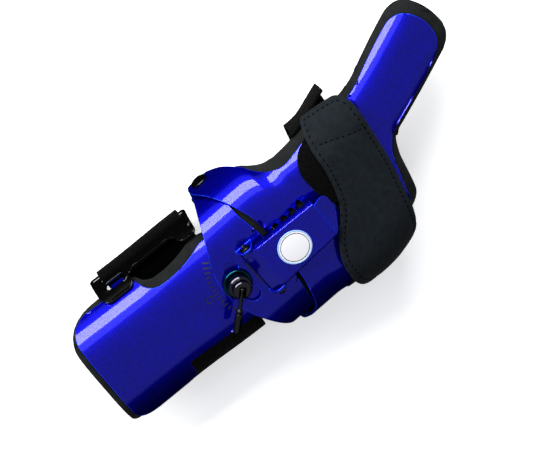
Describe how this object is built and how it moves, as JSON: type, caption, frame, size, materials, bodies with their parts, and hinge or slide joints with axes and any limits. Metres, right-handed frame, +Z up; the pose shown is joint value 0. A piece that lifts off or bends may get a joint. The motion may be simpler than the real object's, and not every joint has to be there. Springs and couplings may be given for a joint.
{
  "type": "bowling wrist support glove",
  "caption": "Metal wrist support glove for a right hand, with forearm, wrist and hand plates, an index-finger plate, a locking swivel, a strut cover, foam pads and wide straps.",
  "frame": {"origin": "under the middle of the whole, on the surface that the straps rest on", "axes": "+X from the elbow to the fingertips, +Y to the thumb, +Z up from the back of the hand"},
  "size_m": [0.3264, 0.1512, 0.067],
  "materials": {
    "blue_plate": "glossy electric-blue metallic lacquer on aluminium sheet",
    "foam": "matte charcoal foam padding",
    "neoprene": "matte stitched neoprene",
    "loop_pile": "black loop-pile webbing",
    "black_hardware": "glossy black",
    "bright_steel": "plain steel",
    "white_enamel": "plain white disc"
  },
  "bodies": {
    "forearm": {"forearm_plate": "blue_plate", "forearm_pad": "foam", "forearm_strap": "loop_pile", "buckle_frame": "black_hardware", "pivot_screw": "bright_steel", "lock_stud": "black_hardware"},
    "wrist": {"wrist_plate": "blue_plate", "wing_pad_thumb": "foam", "wing_pad_ulnar": "foam", "cover_pin": "black_hardware", "leaf_spring": "black_hardware", "rivet_thumb": "black_hardware", "rivet_ulnar": "black_hardware"},
    "cover": {"strut_cover": "blue_plate", "badge": "white_enamel"},
    "hand": {"hand_plate": "blue_plate", "hand_pad": "foam", "strap_band": "loop_pile", "strap_tab": "neoprene"},
    "knob": {"lock_knob": "black_hardware"},
    "lever": {"lever_rod": "black_hardware", "lever_sleeve": "black_hardware"}
  },
  "joints": [
    {"name": "side_swivel", "type": "hinge", "parent": "forearm", "child": "wrist", "pos_m": [-0.02484, -0.00497, 0.05], "axis": [0, 0, 1], "range_deg": [-18, 8]},
    {"name": "cup_tip", "type": "hinge", "parent": "wrist", "child": "hand", "pos_m": [-0.02484, -0.00497, 0.016], "axis": [-0.0611, 0.9981, 0], "range_deg": [0, 45]},
    {"name": "cover_hinge", "type": "hinge", "parent": "wrist", "child": "cover", "pos_m": [-0.03043, -0.00531, 0.0584], "axis": [0.0611, -0.9981, 0], "range_deg": [0, 70]},
    {"name": "knob_turn", "type": "hinge", "parent": "forearm", "child": "knob", "pos_m": [-0.04984, -0.00497, 0.058], "axis": [0, 0, 1], "range_deg": [-160, 60]},
    {"name": "lever_fold", "type": "hinge", "parent": "knob", "child": "lever", "pos_m": [-0.04984, -0.00497, 0.06475], "axis": [-0.7547, 0.6561, 0], "range_deg": [0, 90]}
  ]
}
